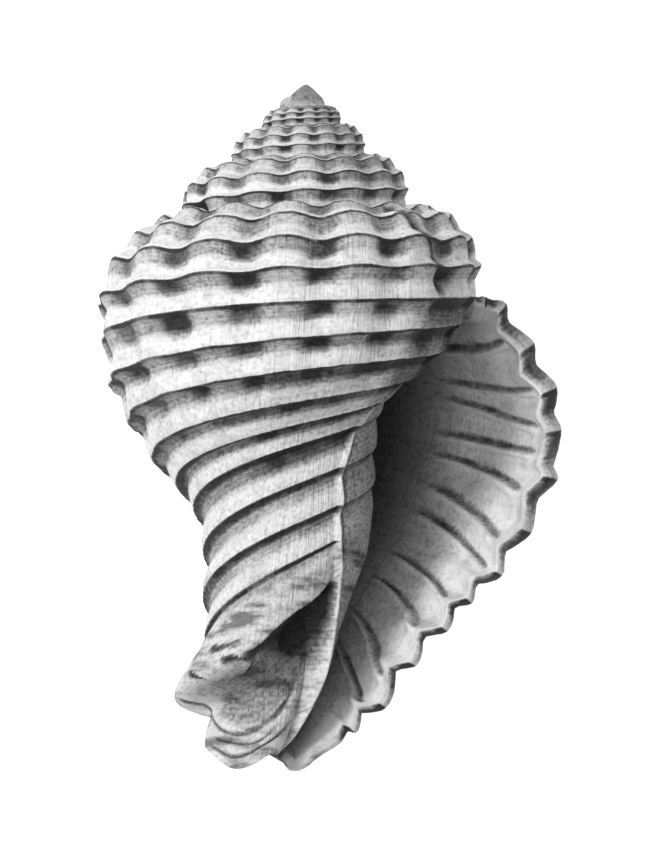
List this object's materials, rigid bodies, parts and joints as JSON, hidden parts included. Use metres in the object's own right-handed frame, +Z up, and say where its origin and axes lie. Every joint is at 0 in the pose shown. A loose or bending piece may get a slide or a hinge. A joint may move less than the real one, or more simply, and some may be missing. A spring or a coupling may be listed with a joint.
{
  "type": "gastropod shell",
  "caption": "Corded and ribbed whelk shell with a conical spire, scalloped outer lip, open aperture and short siphonal canal, lying on its back.",
  "frame": {"origin": "middle of the bounding box at the surface that the shell lies on", "axes": "+Z up, the way the aperture faces; +Y along the shell towards the tip of the spire; +X towards the outer lip"},
  "size_m": [0.0332, 0.0498, 0.0306],
  "materials": {
    "shell": "matt, chalky"
  },
  "bodies": {
    "root": {"shell": "shell"}
  },
  "joints": []
}
